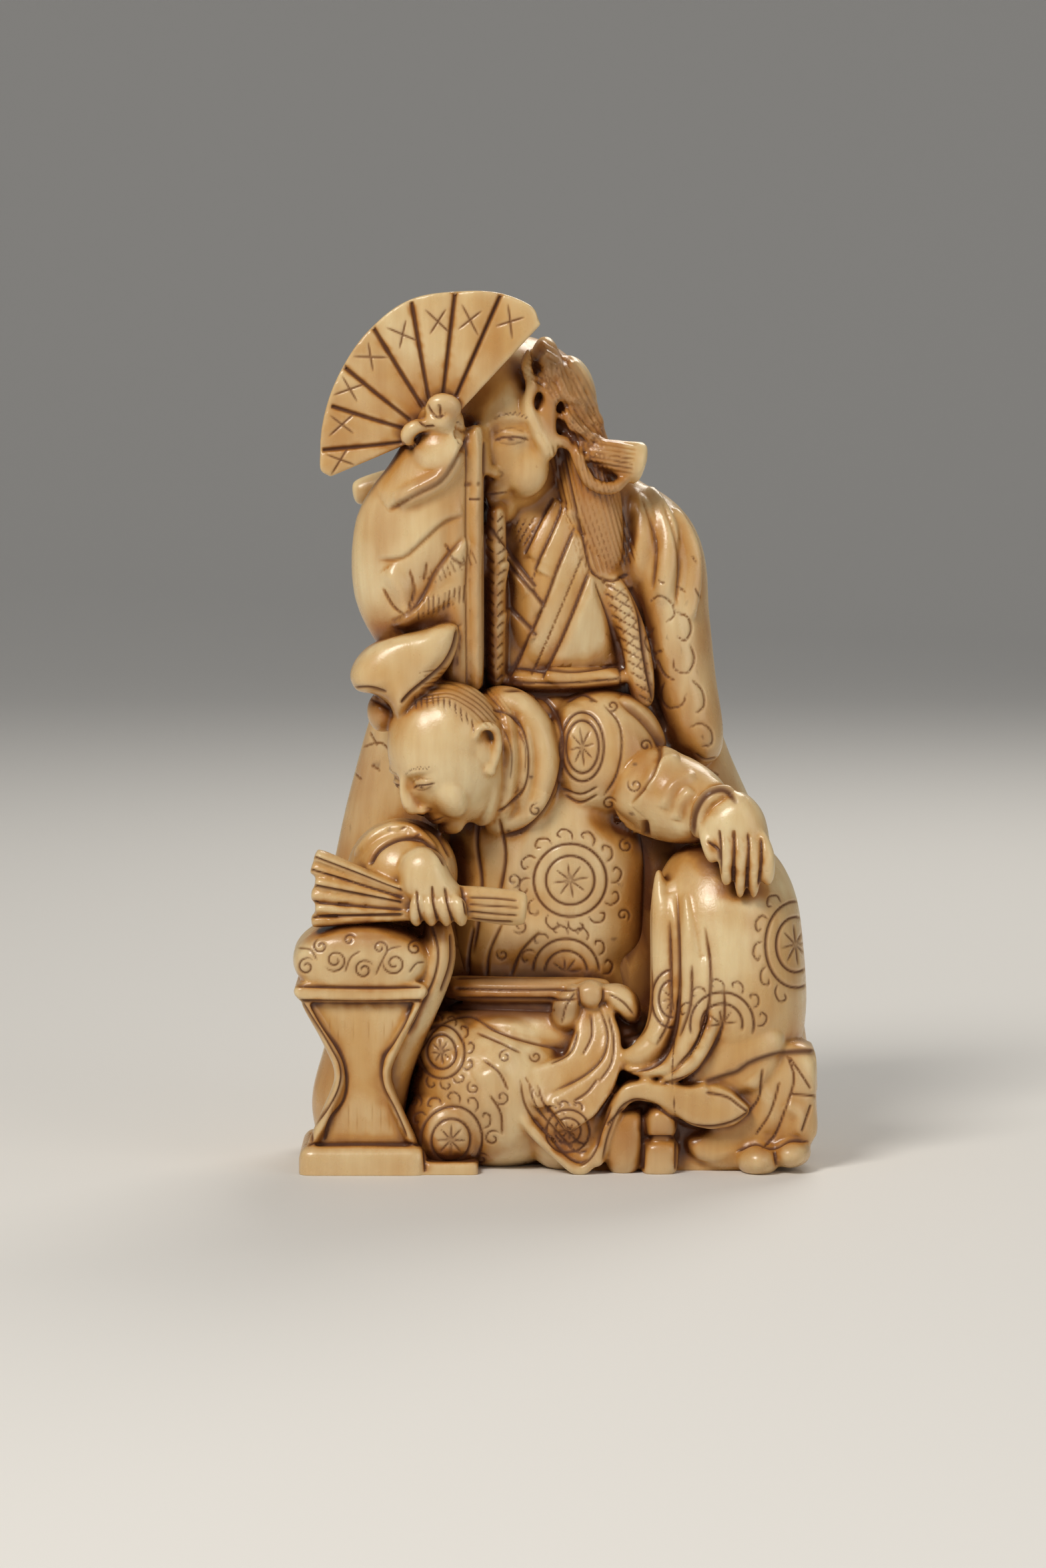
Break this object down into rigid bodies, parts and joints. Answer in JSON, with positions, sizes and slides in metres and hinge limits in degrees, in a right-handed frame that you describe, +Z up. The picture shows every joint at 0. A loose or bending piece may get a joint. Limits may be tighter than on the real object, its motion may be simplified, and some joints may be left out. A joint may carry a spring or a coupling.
{
  "type": "carved netsuke",
  "caption": "Carved netsuke: a seated courtier leans on an armrest with a closed fan, and a long-haired figure behind holds up an open fan. Cord holes in the back.",
  "frame": {"origin": "middle of the underside, on the surface the carving stands on", "axes": "+Z up, -Y towards the side that the two faces look out of, +X to the right as seen from there"},
  "size_m": [0.033, 0.0208, 0.0552],
  "materials": {
    "ivory": "polished, with amber and brown stain in the recesses"
  },
  "bodies": {
    "root": {"netsuke_carving": "ivory"}
  },
  "joints": []
}
